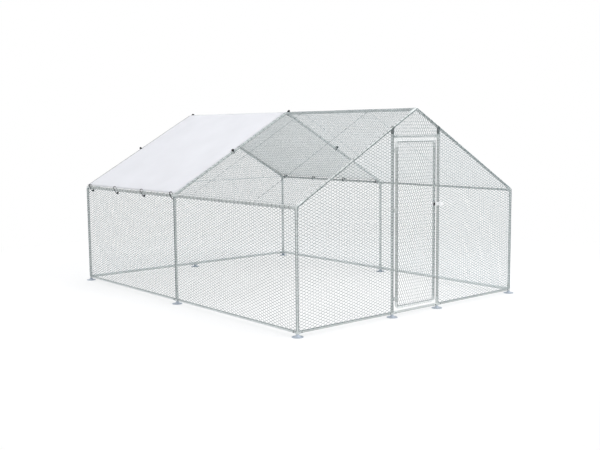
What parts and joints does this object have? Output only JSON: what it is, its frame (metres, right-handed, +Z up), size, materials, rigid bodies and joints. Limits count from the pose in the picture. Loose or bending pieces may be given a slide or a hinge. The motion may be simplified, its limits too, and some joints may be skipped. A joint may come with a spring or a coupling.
{
  "type": "chicken run",
  "caption": "Walk-in chicken run with a pitched tube frame, hexagonal wire netting, a hinged gable door with a sliding bolt, and a pale cover over its rear bay.",
  "frame": {"origin": "on the ground, at the centre of the area that the run covers", "axes": "+Z up, +Y from the door gable to the rear gable, +X to the right seen from the door side"},
  "size_m": [3.105, 4.0248, 2.0161],
  "materials": {
    "galvanised_steel": "satin",
    "galvanised_wire": "satin",
    "zinc_bolt": "satin",
    "foot_metal": "matte",
    "cover_cloth": "matte",
    "eyelet_metal": "satin",
    "elastic_cord": "matte",
    "black_plastic": "gloss",
    "white_paint": "satin"
  },
  "bodies": {
    "frame": {"front_left_post": "galvanised_steel", "front_right_post": "galvanised_steel", "mid_left_post": "galvanised_steel", "mid_right_post": "galvanised_steel", "rear_left_post": "galvanised_steel", "rear_right_post": "galvanised_steel", "front_left_rafter": "galvanised_steel", "front_right_rafter": "galvanised_steel", "mid_left_rafter": "galvanised_steel", "mid_right_rafter": "galvanised_steel", "rear_left_rafter": "galvanised_steel", "rear_right_rafter": "galvanised_steel", "ridge_rails": "galvanised_steel", "left_eave_rails": "galvanised_steel", "right_eave_rails": "galvanised_steel", "left_base_rails": "galvanised_steel", "right_base_rails": "galvanised_steel", "rear_base_rails": "galvanised_steel", "front_base_rails": "galvanised_steel", "door_sill": "galvanised_steel", "left_door_post": "galvanised_steel", "right_door_post": "galvanised_steel", "door_head_rail": "galvanised_steel", "eave_connectors": "galvanised_steel", "ridge_connectors": "galvanised_steel", "base_connectors": "galvanised_steel", "head_rail_tees": "galvanised_steel", "rafter_clamps": "galvanised_steel", "foot_plates": "foot_metal", "frame_bolts": "zinc_bolt", "left_front_netting": "galvanised_wire", "left_rear_netting": "galvanised_wire", "right_front_netting": "galvanised_wire", "right_rear_netting": "galvanised_wire", "rear_wall_netting": "galvanised_wire", "rear_gable_netting": "galvanised_wire", "front_left_netting": "galvanised_wire", "front_right_netting": "galvanised_wire", "over_door_netting": "galvanised_wire", "roof_left_front_netting": "galvanised_wire", "roof_left_rear_netting": "galvanised_wire", "roof_right_front_netting": "galvanised_wire", "roof_right_rear_netting": "galvanised_wire", "roof_cover": "cover_cloth", "cover_eyelets": "eyelet_metal", "elastic_loops": "elastic_cord", "loop_balls": "black_plastic", "hinge_post_clips": "galvanised_steel", "hinge_pins": "zinc_bolt", "latch_keeper": "white_paint"},
    "door": {"hinge_stile": "galvanised_steel", "latch_stile": "galvanised_steel", "door_top_rail": "galvanised_steel", "door_bottom_rail": "galvanised_steel", "door_corners": "galvanised_steel", "door_netting": "galvanised_wire", "hinge_stile_clips": "galvanised_steel", "latch_plate": "white_paint"},
    "latch": {"latch_bolt": "galvanised_steel", "latch_grip": "black_plastic"}
  },
  "joints": [
    {"name": "door_hinge", "type": "hinge", "parent": "frame", "child": "door", "pos_m": [-0.2935, -1.96, 1], "axis": [0, 0, -1], "range_deg": [0, 110]},
    {"name": "latch_slide", "type": "slide", "parent": "door", "child": "latch", "axis": [1, 0, 0], "range_m": [0, 0.024]}
  ]
}
